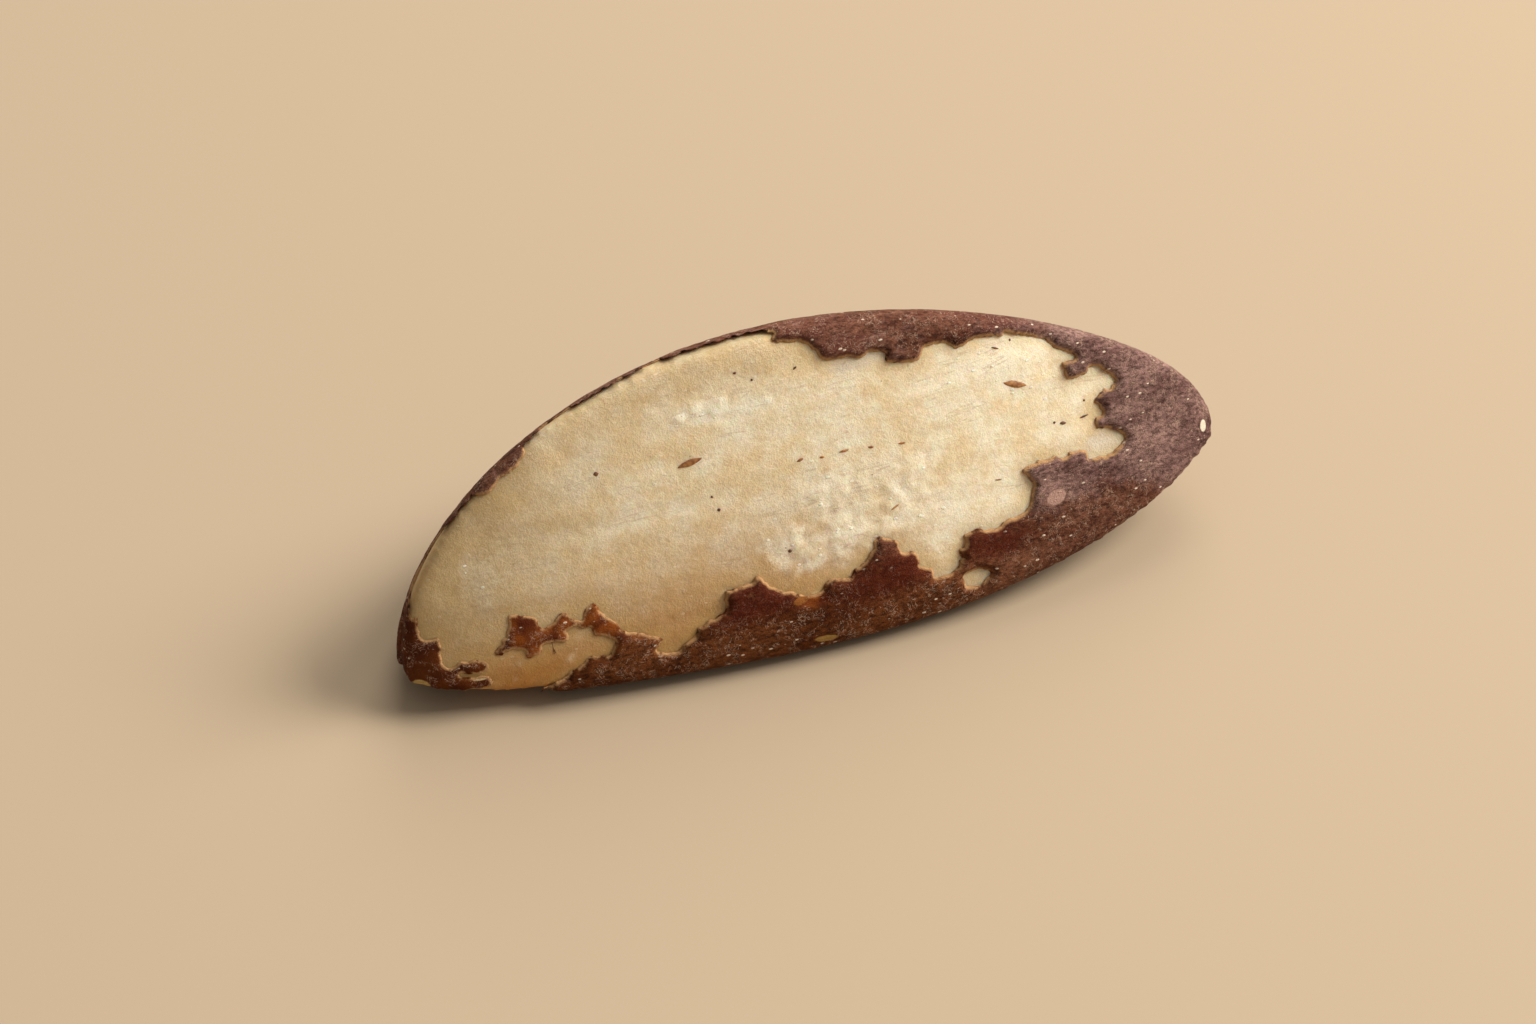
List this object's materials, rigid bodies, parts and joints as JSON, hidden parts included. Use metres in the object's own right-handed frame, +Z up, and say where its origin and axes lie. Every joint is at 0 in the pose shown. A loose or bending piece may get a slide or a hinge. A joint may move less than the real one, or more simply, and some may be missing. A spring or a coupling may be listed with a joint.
{
  "type": "brazil nut",
  "caption": "Shelled Brazil nut lying on its flattest side: a three-sided kernel with its thin brown skin torn open along one broad face.",
  "frame": {"origin": "under the middle of the nut's outer box, on the surface that it rests on", "axes": "+X along the nut to its pointed tip, +Z up, -Y toward the side with the large peeled window"},
  "size_m": [0.04, 0.0164, 0.0127],
  "materials": {
    "kernel": "waxy cream nut flesh with a faint mottle and small brown flecks, slightly yellower toward the lower left",
    "skin": "dry, matte purple-brown seed skin with fine lengthwise fibres, pale specks and thin red-brown torn edges"
  },
  "bodies": {
    "root": {"kernel": "kernel", "skin": "skin"}
  },
  "joints": []
}
